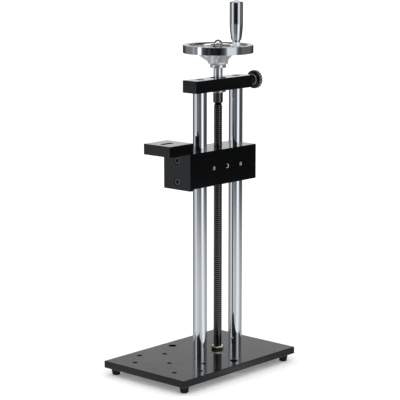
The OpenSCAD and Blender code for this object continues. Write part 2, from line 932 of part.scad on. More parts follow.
module cap_nut() {
    dome_r = nut_dome_d / 2;
    color([0.88, 0.89, 0.9])
    at_spindle(nut_z0)
        difference() {
            union() {
                intersection() {
                    hexagon(nut_flats, nut_hex_h);
                    union() {
                        cylinder(d = nut_flats / cos(30), h = nut_hex_h - 0.8);
                        translate([0, 0, nut_hex_h - 0.8])
                            cylinder(d1 = nut_flats / cos(30), d2 = nut_dome_d, h = 0.8);
                    }
                }
                cylinder(d = nut_dome_d, h = nut_h - dome_r);
                translate([0, 0, nut_h - dome_r])
                    sphere(r = dome_r);
            }
            translate([0, 0, -eps])
                cylinder(d = bearing_id + 2 * seat_gap, h = nut_bore_h);
            translate([0, 0, -2 * dome_r])
                cylinder(r = 2 * dome_r, h = 2 * dome_r);
        }
}

module handle_stud() {
    axle_top = grip_top + face_gap;
    ball_r = (dome_d * dome_d / 4 + dome_h * dome_h) / (2 * dome_h);
    collar_r = stud_collar_d / 2;
    collar_end = boss_top + stud_collar_h;
    stud_z0 = rim_z0 + stud_recess;
    ease = 0.6;
    color([0.85, 0.86, 0.88])
    at_handle(0) {
        rotate_extrude()
            polygon([
                [0, stud_z0], [stud_d / 2, stud_z0], [stud_d / 2, boss_top],
                [collar_r, boss_top], [collar_r, collar_end - ease], [collar_r - ease, collar_end],
                [stud_d / 2, collar_end], [stud_d / 2, axle_top + eps], [0, axle_top + eps]
            ]);
        translate([0, 0, axle_top])
            intersection() {
                translate([0, 0, dome_h - ball_r])
                    sphere(r = ball_r);
                cylinder(d = 2 * dome_d, h = 2 * dome_h);
            }
    }
}

// Outline of the grip: neck, round foot, swelling taper, straight top
function grip_r(t) = grip_low_d / 2 + (grip_d - grip_low_d) / 2 * sin(90 * t);

module handle_grip() {
    steps = 10;
    lip = 0.8;
    bore_r = stud_d / 2 + running_gap;
    color([0.86, 0.87, 0.89])
    at_handle(0)
        rotate_extrude()
            polygon(concat(
                [[bore_r, grip_z0], [grip_neck_d / 2, grip_z0], [grip_neck_d / 2, grip_foot_z]],
                [[grip_low_d / 2 - lip, grip_foot_z]],
                [for (i = [0 : steps])
                    [grip_r(i / steps), grip_foot_z + lip + i / steps * grip_taper_l]],
                [[grip_d / 2, grip_top - lip], [grip_d / 2 - lip, grip_top], [bore_r, grip_top]]
            ));
}

module carriage_block() {
    color([0.06, 0.06, 0.065])
    difference() {
        translate([0, carriage_y0 + carriage_l / 2, carriage_z0])
            eased_block(carriage_w, carriage_l, carriage_h);
        at_columns() {
            translate([0, 0, carriage_z0 - eps])
                cylinder(d = guide_od + 2 * seat_gap, h = carriage_h - lip_t + eps);
            translate([0, 0, carriage_z0])
                cylinder(d = column_d + 2 * pass_gap, h = carriage_h + eps);
        }
        at_spindle(carriage_z0 - eps) {
            cylinder(d = nut_flange_d + 2 * seat_gap, h = nut_flange_t + eps);
            cylinder(d = nut_body_d + 2 * seat_gap, h = nut_l + eps);
            cylinder(d = screw_d + 2 * pass_gap, h = carriage_h + 2 * eps);
        }
        at_nut_screws(carriage_z0 + nut_flange_t - eps)
            cylinder(d = nut_screw_d + 2 * seat_gap, h = nut_screw_bite + 1);
        side_taps();
        at_bracket_screws(carriage_y0)
            translate([0, 0, -eps])
                cylinder(d = cap_d + 2 * seat_gap, h = bracket_bite + 1);
    }
}

// Tapped holes in the carriage's right face, as cutters
module side_taps() {
    for (y = [-1, 1])
        translate([carriage_w / 2 - side_tap_depth, side_tap_y + y * side_tap_pitch / 2, side_tap_z])
            rotate([0, 90, 0])
                chamfered_hole(side_tap_d, side_tap_depth, edge_break);
    translate([carriage_w / 2 - side_tap_depth, side_tap_y, side_tap_z])
        rotate([0, 90, 0])
            chamfered_hole(mid_tap_d, side_tap_depth, edge_break);
}

// Places its children at the lead nut's flange screws
module at_nut_screws(z) {
    for (i = [0 : nut_screw_count - 1])
        at_spindle(z)
            rotate([0, 0, i * 360 / nut_screw_count])
                translate([nut_circle_r, 0, 0])
                    children();
}

// Places its children at the bracket screws, with +Z pointing back into the carriage
module at_bracket_screws(y) {
    for (side = [-1, 1])
        translate([0, y, bracket_screw_z + side * bracket_screw_pitch / 2])
            rotate([-90, 0, 0])
                children();
}

// Plain guide bush standing on z
module guide_bush(y, z) {
    color([0.55, 0.38, 0.2])
    translate([0, y, z])
        ring(guide_od, column_d + 2 * running_gap, guide_l);
}

module front_upper_guide_bush() {
    guide_bush(front_column_y, carriage_top - lip_t - guide_l);
}

module front_lower_guide_bush() {
    guide_bush(front_column_y, carriage_z0);
}

module rear_upper_guide_bush() {
    guide_bush(rear_column_y, carriage_top - lip_t - guide_l);
}

module rear_lower_guide_bush() {
    guide_bush(rear_column_y, carriage_z0);
}

module lead_nut() {
    color([0.6, 0.45, 0.22])
    difference() {
        union() {
            at_spindle(carriage_z0)
                cylinder(d = nut_flange_d, h = nut_flange_t);
            at_spindle(carriage_z0)
                cylinder(d = nut_body_d, h = nut_l);
        }
        at_spindle(carriage_z0 - eps)
            cylinder(d = screw_d + 2 * running_gap, h = nut_l + 2 * eps);
        at_nut_screws(carriage_z0 - eps) {
            cylinder(d = nut_screw_d + screw_clear, h = nut_flange_t + 2 * eps);
            cylinder(d = nut_head_d + screw_clear, h = nut_head_h + 0.3 + eps);
        }
    }
}

module lead_nut_screws() {
    color([0.12, 0.12, 0.12])
    at_nut_screws(carriage_z0 + nut_head_h + 0.3)
        rotate([180, 0, 0])
            socket_screw(
                nut_screw_d,
                nut_head_d,
                nut_head_h,
                nut_flange_t - nut_head_h - 0.3 + nut_screw_bite
            );
}

// Bracket outline seen from the right: level plate with a leg down the carriage's front
module bracket_outline() {
    c = edge_break;
    leg_y = carriage_y0 - leg_t;
    polygon([
        [bracket_y0 + c, carriage_top], [leg_y, carriage_top], [leg_y, bracket_z0 + c],
        [leg_y + c, bracket_z0], [carriage_y0, bracket_z0], [carriage_y0, bracket_top - c],
        [carriage_y0 - c, bracket_top], [bracket_y0 + c, bracket_top],
        [bracket_y0, bracket_top - c], [bracket_y0, carriage_top + c]
    ]);
}

module gauge_bracket() {
    bracket_h = bracket_top - bracket_z0;
    color([0.06, 0.06, 0.065])
    difference() {
        intersection() {
            rotate([90, 0, 90])
                linear_extrude(carriage_w, center = true)
                    bracket_outline();
            translate([0, bracket_y0 + bracket_reach / 2, bracket_z0])
                eased_block(carriage_w, bracket_reach, bracket_h);
        }
        translate([0, bracket_y0 + slot_back, carriage_top - eps])
            linear_extrude(bracket_t + 2 * eps)
                stadium(slot_w, slot_l);
        at_bracket_screws(carriage_y0 - leg_t - eps) {
            cylinder(d = cap_d + screw_clear, h = leg_t + 2 * eps);
            cylinder(d = counterbore_d, h = low_head_h + head_sink + eps);
        }
    }
}

module bracket_screws() {
    color([0.12, 0.12, 0.12])
    at_bracket_screws(carriage_y0 - leg_t + low_head_h + head_sink)
        rotate([180, 0, 0])
            socket_screw(cap_d, cap_head_d, low_head_h, leg_t - low_head_h - head_sink + bracket_bite);
}

module thumb_stud() {
    color([0.2, 0.2, 0.2])
    translate([0, bar_back_y - thumb_bite, thumb_z])
        rotate([-90, 0, 0])
            cylinder(d = thumb_stud_d, h = thumb_bite + face_gap + thumb_collar_l);
}

module thumb_knob() {
    lip = 0.8;
    flute_out = 0.2;
    flute_over = 1;
    bore_l = thumb_collar_l + face_gap;
    cone_y = thumb_collar_l + thumb_cone_l;
    color([0.08, 0.08, 0.085])
    translate([0, thumb_y0, thumb_z])
        rotate([-90, 0, 0])
            difference() {
                union() {
                    cylinder(d = thumb_collar_d, h = thumb_collar_l);
                    translate([0, 0, thumb_collar_l - eps])
                        cylinder(d1 = thumb_collar_d, d2 = 0.75 * thumb_d, h = thumb_cone_l + eps);
                    translate([0, 0, cone_y - eps])
                        cylinder(d1 = thumb_d - 2 * lip, d2 = thumb_d, h = lip + eps);
                    translate([0, 0, cone_y + lip - eps])
                        cylinder(d = thumb_d, h = thumb_t - 2 * lip + eps);
                    translate([0, 0, cone_y + thumb_t - lip - eps])
                        cylinder(d1 = thumb_d, d2 = thumb_d - 2 * lip, h = lip);
                }
                translate([0, 0, -eps])
                    cylinder(d = thumb_stud_d + 2 * running_gap, h = bore_l);
                for (i = [0 : flute_count - 1])
                    rotate([0, 0, i * 360 / flute_count])
                        translate([thumb_d / 2 + flute_out, 0, cone_y - flute_over])
                            cylinder(d = flute_d, h = thumb_t + 2 * flute_over);
            }
}

base_plate();
rubber_feet();
foot_screws();
front_column();
rear_column();
column_base_screws();
top_bar();
bar_cap_screws();
upper_bearing_outer_ring();
upper_bearing_shields();
upper_bearing_inner_ring();
upper_bearing_balls();
upper_bearing_cage();
lower_bearing_outer_ring();
lower_bearing_shields();
lower_bearing_inner_ring();
lower_bearing_balls();
lower_bearing_cage();
foot_bush();
lead_screw();
thrust_washer();
bearing_spacer();
flanged_sleeve();
handwheel();
wheel_key();
wheel_washer();
cap_nut();
handle_stud();
handle_grip();
carriage_block();
front_upper_guide_bush();
front_lower_guide_bush();
rear_upper_guide_bush();
rear_lower_guide_bush();
lead_nut();
lead_nut_screws();
gauge_bracket();
bracket_screws();
thumb_stud();
thumb_knob();
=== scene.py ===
import math

import bmesh
import bpy
from mathutils import Matrix, Vector


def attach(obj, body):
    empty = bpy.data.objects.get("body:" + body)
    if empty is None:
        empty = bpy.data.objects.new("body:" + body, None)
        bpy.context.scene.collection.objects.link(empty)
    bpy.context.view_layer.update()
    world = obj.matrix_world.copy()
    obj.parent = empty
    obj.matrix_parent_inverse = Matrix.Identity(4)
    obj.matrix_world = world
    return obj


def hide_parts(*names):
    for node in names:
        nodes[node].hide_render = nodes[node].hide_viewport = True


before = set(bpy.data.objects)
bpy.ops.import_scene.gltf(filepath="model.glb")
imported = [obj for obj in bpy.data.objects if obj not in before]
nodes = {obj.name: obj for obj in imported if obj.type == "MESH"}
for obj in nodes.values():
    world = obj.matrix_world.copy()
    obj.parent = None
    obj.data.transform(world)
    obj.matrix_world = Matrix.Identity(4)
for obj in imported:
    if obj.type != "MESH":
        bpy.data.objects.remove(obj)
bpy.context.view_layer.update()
scene = bpy.context.scene
mm = 0.001
spindleY = 36.5  # the screw and the wheel turn about this line
knobAxisZ = 409.05
print("frame loaded with", len(nodes), "nodes")

scene.view_settings.view_transform = "Standard"
scene.view_settings.look = "None"

# camera: solved from the photograph's straight edges
cameraSet = {"place": (1535.0, -1702.1, 665.9), "aim": (0.3, -2.1, 246.5), "lens": 147.61, "sensor": 36.0}
camData = bpy.data.cameras.new("photoCamera")
camData.lens = cameraSet["lens"]
camData.sensor_width = cameraSet["sensor"]
camData.clip_end = 50
cam = bpy.data.objects.new("photoCamera", camData)
scene.collection.objects.link(cam)
cam.location = Vector(cameraSet["place"]) * mm
lookAlong = (Vector(cameraSet["aim"]) - Vector(cameraSet["place"])).normalized()
cam.rotation_euler = lookAlong.to_track_quat("-Z", "Y").to_euler()
scene.camera = cam


# mesh helpers; every length is given in mm
def profileWire(bm, outline, closed=False):
    # outline holds (radius, height), then if wanted a corner rounding in mm and its number of steps
    verts = [bm.verts.new((p[0] * mm, 0, p[1] * mm)) for p in outline]
    for a, b in zip(verts, verts[1:]):
        bm.edges.new((a, b))
    if closed:
        bm.edges.new((verts[-1], verts[0]))
    for v, p in zip(verts, outline):
        if len(p) > 2:
            steps = p[3] if len(p) > 3 else 6
            bmesh.ops.bevel(bm, geom=[v], offset=p[2] * mm, offset_type="OFFSET", segments=steps, profile=0.5,
                            affect="VERTICES", material=-1, clamp_overlap=True)


def cleanUp(bm, dist=1e-6):
    bmesh.ops.remove_doubles(bm, verts=bm.verts[:], dist=dist)
    bmesh.ops.recalc_face_normals(bm, faces=bm.faces[:])


def lathe(outline, steps=96, closed=False):
    bm = bmesh.new()
    profileWire(bm, outline, closed)
    bmesh.ops.spin(bm, geom=bm.verts[:] + bm.edges[:], cent=(0, 0, 0), axis=(0, 0, 1), dvec=(0, 0, 0),
                   angle=2 * math.pi, steps=steps, use_merge=True, use_duplicate=False)
    cleanUp(bm)
    return bm


def moveAll(bm, x, y, z):
    bmesh.ops.translate(bm, verts=bm.verts[:], vec=(x * mm, y * mm, z * mm))


def turnAll(bm, degrees, axis):
    bmesh.ops.rotate(bm, verts=bm.verts[:], cent=(0, 0, 0), matrix=Matrix.Rotation(math.radians(degrees), 3, axis))


def pour(bm, other):
    # adds another bmesh and frees it
    mesh = bpy.data.meshes.new("pourTemp")
    other.to_mesh(mesh)
    other.free()
    bm.from_mesh(mesh)
    bpy.data.meshes.remove(mesh)


def softenEdges(bm, width, segments=2, degrees=40):
    sharp = [e for e in bm.edges if e.is_manifold and e.calc_face_angle(0) > math.radians(degrees)]
    bmesh.ops.bevel(bm, geom=sharp, offset=width * mm, offset_type="OFFSET", segments=segments,
                    profile=0.5, affect="EDGES", material=-1, clamp_overlap=True)


def shadeByAngle(bm, degrees=35):
    limit = math.radians(degrees)
    for f in bm.faces:
        f.smooth = True
    for e in bm.edges:
        e.smooth = not e.is_manifold or e.calc_face_angle(0) < limit


def finishPiece(bm, name, material, body, stands=(), degrees=35):
    shadeByAngle(bm, degrees)
    mesh = bpy.data.meshes.new(name)
    bm.to_mesh(mesh)
    bm.free()
    piece = bpy.data.objects.new(name, mesh)
    scene.collection.objects.link(piece)
    mesh.materials.append(material)
    even = piece.modifiers.new("evenShade", "WEIGHTED_NORMAL")  # long walls stay true beside small roundings
    even.keep_sharp = True
    even.weight = 100
    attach(piece, body)
    if stands:
        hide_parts(*stands)
    return piece


# node helpers
def calc(tree, kind, a, b=None):
    node = tree.nodes.new("ShaderNodeMath")
    node.operation = kind
    for socket, value in zip(node.inputs, (a, b)):
        if isinstance(value, (int, float)):
            socket.default_value = value
        elif value is not None:
            tree.links.new(value, socket)
    return node.outputs["Value"]


def soften(tree, value, start, end):
    node = tree.nodes.new("ShaderNodeMapRange")
    node.interpolation_type = "SMOOTHSTEP"
    node.inputs["From Min"].default_value = start
    node.inputs["From Max"].default_value = end
    tree.links.new(value, node.inputs["Value"])
    return node.outputs["Result"]


def greySteps(tree, fac, steps, low, high, cast=(1, 1, 1)):
    # steps holds (place between low and high, grey level)
    node = tree.nodes.new("ShaderNodeValToRGB")
    for i, (place, grey) in enumerate(steps):
        spot = (place - low) / (high - low)
        stop = node.color_ramp.elements[i] if i < 2 else node.color_ramp.elements.new(spot)
        stop.position = spot
        stop.color = (grey * cast[0], grey * cast[1], grey * cast[2], 1)
    tree.links.new(fac, node.inputs["Fac"])
    return node.outputs["Color"]


def bearingOf(tree, x, y, turn):
    # 0 to 360 round the object, 180 towards the camera
    degrees = calc(tree, "MULTIPLY", calc(tree, "ARCTAN2", y, x), 180 / math.pi)
    return calc(tree, "FLOORED_MODULO", calc(tree, "ADD", degrees, turn + 180), 360)


def blendColour(tree, fac, base, level):
    node = tree.nodes.new("ShaderNodeMix")
    node.data_type = "RGBA"
    tree.links.new(fac, node.inputs["Factor"])
    tree.links.new(base, node.inputs["A"])
    node.inputs["B"].default_value = (level, level, level, 1)
    return node.outputs["Result"]


# finishes
def startFinish(name):
    mat = bpy.data.materials.new(name)
    mat.use_nodes = True
    tree = mat.node_tree
    shader = tree.nodes["Principled BSDF"]
    place = tree.nodes.new("ShaderNodeTexCoord")
    return mat, tree, shader, place.outputs["Object"]


def stretch(tree, source, scale, turn=(0, 0, 0), shift=(0, 0, 0)):
    node = tree.nodes.new("ShaderNodeMapping")
    node.inputs["Scale"].default_value = scale
    node.inputs["Rotation"].default_value = turn
    node.inputs["Location"].default_value = shift
    tree.links.new(source, node.inputs["Vector"])
    return node.outputs["Vector"]


def grain(tree, source, scale, detail=3, rough=0.55):
    node = tree.nodes.new("ShaderNodeTexNoise")
    node.inputs["Scale"].default_value = scale
    node.inputs["Detail"].default_value = detail
    node.inputs["Roughness"].default_value = rough
    tree.links.new(source, node.inputs["Vector"])
    return node.outputs["Fac"]


def spread(tree, fac, low, high, start=0.3, end=0.7):
    node = tree.nodes.new("ShaderNodeMapRange")
    node.inputs["From Min"].default_value = start
    node.inputs["From Max"].default_value = end
    node.inputs["To Min"].default_value = low
    node.inputs["To Max"].default_value = high
    tree.links.new(fac, node.inputs["Value"])
    return node.outputs["Result"]


def tint(tree, fac, dark, light, start=0.3, end=0.7):
    node = tree.nodes.new("ShaderNodeValToRGB")
    node.color_ramp.elements[0].position = start
    node.color_ramp.elements[0].color = (*dark, 1)
    node.color_ramp.elements[1].position = end
    node.color_ramp.elements[1].color = (*light, 1)
    tree.links.new(fac, node.inputs["Fac"])
    return node.outputs["Color"]


def bump(tree, height, shader, strength, distance):
    node = tree.nodes.new("ShaderNodeBump")
    node.inputs["Strength"].default_value = strength
    node.inputs["Distance"].default_value = distance
    tree.links.new(height, node.inputs["Height"])
    tree.links.new(node.outputs["Normal"], shader.inputs["Normal"])


def patterned(tree, spot, pattern):
    # pattern holds a scale and the detail; three scales in one stretch it
    scale, detail = pattern
    if isinstance(scale, tuple):
        return grain(tree, stretch(tree, spot, scale), 1, detail)
    return grain(tree, spot, scale, detail)


def surface(name, look):
    # mottled colour, scuffed gloss and fine relief, each from a grain of its own
    mat, tree, shader, spot = startFinish(name)
    if "mottle" in look:
        colour = tint(tree, patterned(tree, spot, look["mottle"]), look["dark"], look["light"])
        tree.links.new(colour, shader.inputs["Base Color"])
    if "scuff" in look:
        tree.links.new(spread(tree, patterned(tree, spot, look["scuff"]), *look["gloss"]), shader.inputs["Roughness"])
    if "relief" in look:
        bump(tree, patterned(tree, spot, look["relief"]), shader, *look["height"])
    for socket, value in look["fixed"].items():
        shader.inputs[socket].default_value = value
    return mat, tree, shader, spot


def axesOf(tree, vector):
    node = tree.nodes.new("ShaderNodeSeparateXYZ")
    tree.links.new(vector, node.inputs["Vector"])
    return node.outputs


def lengthOf(tree, vector):
    node = tree.nodes.new("ShaderNodeVectorMath")
    node.operation = "LENGTH"
    tree.links.new(vector, node.inputs[0])
    return node.outputs["Value"]


plateCoat = {"dark": (0.002, 0.002, 0.0022), "light": (0.0045, 0.0045, 0.005), "mottle": (18, 5),
             "gloss": (0.12, 0.18), "scuff": (45, 6), "relief": (900, 2), "height": (0.05, 0.0002),
             "fixed": {"IOR": 1.4}}
anodised = {"dark": (0.0003, 0.0003, 0.0004), "light": (0.0009, 0.0009, 0.001), "mottle": (60, 4),
            "gloss": (0.08, 0.13), "scuff": ((900, 60, 900), 3), "relief": (2600, 2), "height": (0.06, 0.0001),
            "fixed": {"IOR": 1.45}}
rubber = {"dark": (0.008, 0.008, 0.008), "light": (0.02, 0.02, 0.02), "mottle": (300, 4),
          "gloss": (0.55, 0.75), "scuff": (120, 4), "relief": (1800, 3), "height": (0.2, 0.0002),
          "fixed": {"IOR": 1.12}}
studSteel = {"dark": (0.86, 0.86, 0.86), "light": (0.96, 0.96, 0.96), "mottle": ((90, 90, 3000), 3),
             "gloss": (0.3, 0.42), "scuff": (900, 4), "relief": (2500, 2), "height": (0.05, 0.0001),
             "fixed": {"Metallic": 0.5}}
castSkin = {"dark": (0.62, 0.625, 0.63), "light": (0.85, 0.855, 0.86), "mottle": (220, 6),
            "gloss": (0.34, 0.5), "scuff": (400, 5), "relief": (900, 5), "height": (0.25, 0.0003),
            "fixed": {"Metallic": 0.7}}
bareMetal = {"dark": (0.5, 0.5, 0.5), "light": (0.66, 0.66, 0.66), "mottle": (900, 3),
             "gloss": (0.42, 0.58), "scuff": (1500, 3), "relief": (3000, 2), "height": (0.1, 0.0001),
             "fixed": {"Metallic": 0.5}}
groundSteel = {"dark": (0.5, 0.5, 0.51), "light": (0.66, 0.66, 0.67), "mottle": (260, 4),
               "gloss": (0.16, 0.28), "scuff": ((300, 300, 4000), 3), "fixed": {"Metallic": 1.0}}
brass = {"dark": (0.55, 0.36, 0.13), "light": (0.78, 0.56, 0.25), "mottle": (180, 5),
         "gloss": (0.14, 0.3), "scuff": ((200, 200, 5000), 3), "fixed": {"Metallic": 1.0}}
bronze = {**brass, "dark": (0.4, 0.24, 0.1), "light": (0.56, 0.36, 0.18)}


def polishedChrome(name, rough, drawn, lift=0.86, edge=1.0):
    # drawn scales the fine lines, which run along an axis where it is small; a low edge darkens the rims
    look = {"dark": (lift - 0.05, lift - 0.045, lift - 0.03), "light": (lift, lift, lift + 0.01), "mottle": (drawn, 4),
            "gloss": (rough, rough + 0.05), "scuff": (90, 5), "relief": (drawn, 4), "height": (0.015, 0.0001),
            "fixed": {"Metallic": 1.0, "Specular Tint": (edge, edge, edge, 1)}}
    return surface(name, look)[0]


def plainBlack(name, rough, light, index, shine=0.5):
    look = {"dark": (0.001, 0.001, 0.001), "light": (light, light, light), "mottle": (350, 5),
            "gloss": (rough, rough + 0.08), "scuff": (700, 4), "relief": (2400, 3), "height": (0.08, 0.0001),
            "fixed": {"IOR": index, "Specular IOR Level": shine}}
    return surface(name, look)[0]


def knobBlack():
    # black, with a painted highlight: a pale line where the collar meets the head, and flute crests painted paler
    look = {"dark": (0.002, 0.002, 0.002), "light": (0.006, 0.006, 0.007), "coat": (350, 5),
            "gloss": (0.12, 0.22), "scuff": (700, 4), "relief": (2400, 3), "height": (0.08, 0.0001),
            "crest": (0.0126, 0.0131), "paintedCrestSheen": 0.14, "paintedGlintBand": (0.1109, 0.1113, 0.1117), "paleGrey": 0.42,
            "fixed": {"IOR": 1.4}}
    mat, tree, shader, spot = surface("knobBlack", look)
    coat = tint(tree, patterned(tree, spot, look["coat"]), look["dark"], look["light"])
    fromAxis = lengthOf(tree, stretch(tree, spot, (1, 0, 1), (0, 0, 0), (0, 0, -knobAxisZ * mm)))
    # the flute crests are painted paler: a painted highlight
    coat = blendColour(tree, spread(tree, fromAxis, 0, 1, *look["crest"]), coat, look["paintedCrestSheen"])
    # a narrow pale grey band round the collar's end: a painted highlight for the glint of its edge
    along = axesOf(tree, spot)["Y"]
    start, middle, end = look["paintedGlintBand"]
    paintedGlintBand = calc(tree, "MULTIPLY", spread(tree, along, 0, 1, start, middle), spread(tree, along, 1, 0, middle, end))
    tree.links.new(blendColour(tree, paintedGlintBand, coat, look["paleGrey"]), shader.inputs["Base Color"])
    return mat


def footBrass():
    # painted light: pale on top and dark down the flats, set by height, with random patchy tone mixed in
    look = {"dark": (0.035, 0.031, 0.024), "light": (0.78, 0.71, 0.52), "fade": (0.0234, 0.0243), "patchy": (500, 4),
            "uneven": 0.15, "ramp": (0.1, 0.9), "gloss": (0.1, 0.2), "scuff": ((200, 200, 5000), 3),
            "relief": (2000, 3), "height": (0.05, 0.0001), "fixed": {"Metallic": 1.0}}
    mat, tree, shader, spot = surface("footBrassPaintedLight", look)
    patches = spread(tree, patterned(tree, spot, look["patchy"]), -look["uneven"], look["uneven"])
    # height sets the painted light: the top is lifted to pale, the flats stay shaded dark
    level = calc(tree, "ADD", spread(tree, axesOf(tree, spot)["Z"], 0, 1, *look["fade"]), patches)
    tree.links.new(tint(tree, level, look["dark"], look["light"], *look["ramp"]), shader.inputs["Base Color"])
    return mat


def threadWithShadedRoots():
    # crests burnished; roots matt and painted black, a painted shade in the thread's hollows
    look = {"dark": (0.0008, 0.0008, 0.0008), "light": (0.003, 0.003, 0.003), "mottle": (350, 5), "rootGloss": 0.6,
            "crestGloss": (0.07, 0.12), "wear": (700, 4), "step": (0.00555, 0.0059), "relief": (2400, 3),
            "height": (0.08, 0.0001), "fixed": {"IOR": 2.1}}
    mat, tree, shader, spot = surface("blackThreadPaintedRootShade", look)
    across = lengthOf(tree, stretch(tree, spot, (1, 1, 0), (0, 0, 0), (0, -spindleY * mm, 0)))
    # this marks the thread's roots, where shade is painted in
    shadedRootShare = spread(tree, across, 1, 0, *look["step"])
    tree.links.new(shadedRootShare, shader.inputs["Metallic"])  # with a black base this takes the shine out of the roots
    worn = spread(tree, patterned(tree, spot, look["wear"]), *look["crestGloss"])
    rough = calc(tree, "MAXIMUM", calc(tree, "MULTIPLY", shadedRootShare, look["rootGloss"]), worn)
    tree.links.new(rough, shader.inputs["Roughness"])
    return mat


turnedLines = (60, 60, 2600)
finish = {
    "plate": surface("satinPlateCoat", plateCoat)[0],
    "anodised": surface("blackAnodised", anodised)[0],
    "rubber": surface("mattRubber", rubber)[0],
    "column": polishedChrome("hardChromeColumn", 0.045, (1400, 1400, 12)),
    "bright": polishedChrome("turnedChrome", 0.045, turnedLines, edge=0.35),
    "sleeve": polishedChrome("satinSleeve", 0.26, turnedLines, lift=0.95),
    "stud": surface("satinStud", studSteel)[0],
    "nut": polishedChrome("mirrorNut", 0.04, turnedLines, lift=0.88, edge=0.03),
    "rim": polishedChrome("polishedRim", 0.05, turnedLines, lift=0.8, edge=0.5),
    "cast": surface("castAluminium", castSkin)[0],
    "screw": threadWithShadedRoots(),
    "fastener": plainBlack("blackFastener", 0.85, 0.006, 1.3, 0.05),
    # a black ring finish that paints the shade of the upper bearing's pocket
    "ring": plainBlack("bearingRingPaintedShade", 0.5, 0.01, 1.3, 0.15),
    "oiled": plainBlack("oiledBlackScrew", 0.28, 0.02, 2.0),
    "knob": knobBlack(),
    "steel": surface("groundSteel", groundSteel)[0],
    "paleGrey": surface("bareAluminium", bareMetal)[0],
    "brass": surface("turnedBrass", brass)[0],
    "foot": footBrass(),
    "bronze": surface("bushBronze", bronze)[0],
}
cadFinish = {
    "plate": ["base_plate"],
    "anodised": ["top_bar", "carriage_block", "gauge_bracket"],
    # the upper bearing's outer ring is finished black as a painted shade for its pocket; the lower one stays bright
    # steel
    "ring": ["upper_bearing_outer_ring"],
    "steel": ["foot_screws", "upper_bearing_inner_ring", "upper_bearing_balls", "lower_bearing_outer_ring",
              "lower_bearing_inner_ring", "lower_bearing_balls", "thrust_washer", "bearing_spacer", "wheel_key"],
    "foot": ["foot_bush"],
    "brass": ["upper_bearing_cage", "lower_bearing_cage", "lead_nut"],
    "bronze": ["front_upper_guide_bush", "front_lower_guide_bush", "rear_upper_guide_bush",
               "rear_lower_guide_bush"],
    "fastener": ["column_base_screws", "lead_nut_screws", "thumb_stud"],
    "bright": ["wheel_washer"],
}
for look, names in cadFinish.items():
    for name in names:
        nodes[name].material_slots[0].material = finish[look]
print("finishes made:", len(finish))

# rubber feet
feetSet = {"x": 66, "y": 107, "steps": 64,
           "outline": [(3.1, 0.0), (5.25, 0.0, 0.6), (7.0, 10.5, 0.3), (2.2, 10.5), (2.2, 5.2), (3.1, 5.2)]}
feet = bmesh.new()
for sx in (-1, 1):
    for sy in (-1, 1):
        one = lathe(feetSet["outline"], feetSet["steps"], closed=True)
        moveAll(one, sx * feetSet["x"], sy * feetSet["y"], 0)
        pour(feet, one)
finishPiece(feet, "tapered_feet", finish["rubber"], "frame", ["rubber_feet"])
print("feet done")

# columns
columnSet = {"rows": {"front": -2, "rear": 75}, "steps": 128,
             "outline": [(0, 18.5), (10, 18.5, 0.8), (10, 405.3, 0.8), (0, 405.3)]}
for row, y in columnSet["rows"].items():
    rod = lathe(columnSet["outline"], columnSet["steps"])
    moveAll(rod, 0, y, 0)
    finishPiece(rod, row + "_chrome_column", finish["column"], "frame", [row + "_column"])
print("columns done")

# cap screws in the head bar and low heads in the bracket
barScrewSet = {"headD": 10, "headH": 6, "key": 5, "depth": 3, "shankD": 6, "shankL": 18, "seat": 411.3}
lowScrewSet = {"headD": 10, "headH": 4, "key": 4, "depth": 2.4, "shankD": 6, "shankL": 14, "seat": -45.0,
               "rows": (308.5, 278.5)}
socketSet = {"round": 48, "chamfer": 0.5, "lip": 0.35}


def hexLoop(bm, flats, z, cuts):
    before = set(bm.edges)
    made = bmesh.ops.create_circle(bm, cap_ends=False, segments=6, radius=flats / math.sqrt(3) * mm)
    bmesh.ops.translate(bm, verts=made["verts"], vec=(0, 0, z * mm))
    bmesh.ops.subdivide_edges(bm, edges=[e for e in bm.edges if e not in before], cuts=cuts)
    return [e for e in bm.edges if e not in before]


def circleLoop(bm, radius, z):
    made = bmesh.ops.create_circle(bm, cap_ends=False, segments=socketSet["round"], radius=radius * mm)
    bmesh.ops.translate(bm, verts=made["verts"], vec=(0, 0, z * mm))
    return list({e for v in made["verts"] for e in v.link_edges})


def socketScrew(spec):
    # stands with the underside of its head on z = 0
    bm = bmesh.new()
    headR, headH, key, shankR = spec["headD"] / 2, spec["headH"], spec["key"], spec["shankD"] / 2
    cuts = socketSet["round"] // 6 - 1  # the hexagon then bridges point to point with the circles
    hexTop = hexLoop(bm, key, headH, cuts)
    hexLow = hexLoop(bm, key, headH - spec["depth"], cuts)
    mouth = circleLoop(bm, key / math.sqrt(3) + socketSet["lip"], headH)
    chamfer = circleLoop(bm, headR - socketSet["chamfer"], headH)
    shoulder = circleLoop(bm, headR, headH - socketSet["chamfer"])
    under = circleLoop(bm, headR, 0)
    neck = circleLoop(bm, shankR, 0)
    tip = circleLoop(bm, shankR, -spec["shankL"])
    chain = [hexLow, hexTop, mouth, chamfer, shoulder, under, neck, tip]
    for a, b in zip(chain, chain[1:]):
        bmesh.ops.bridge_loops(bm, edges=a + b)
    caps = bmesh.ops.holes_fill(bm, edges=bm.edges[:], sides=0)
    bmesh.ops.poke(bm, faces=caps["faces"])
    cleanUp(bm)
    return bm


barScrews = bmesh.new()
for y in columnSet["rows"].values():
    one = socketScrew(barScrewSet)
    moveAll(one, 0, y, barScrewSet["seat"])
    pour(barScrews, one)
finishPiece(barScrews, "bar_socket_screws", finish["fastener"], "frame", ["bar_cap_screws"])
bracketScrews = bmesh.new()
for z in lowScrewSet["rows"]:
    one = socketScrew(lowScrewSet)
    turnAll(one, 90, "X")
    moveAll(one, 0, lowScrewSet["seat"], z)
    pour(bracketScrews, one)
finishPiece(bracketScrews, "bracket_socket_screws", finish["oiled"], "carriage",
            ["bracket_screws"])
print("socket screws done")

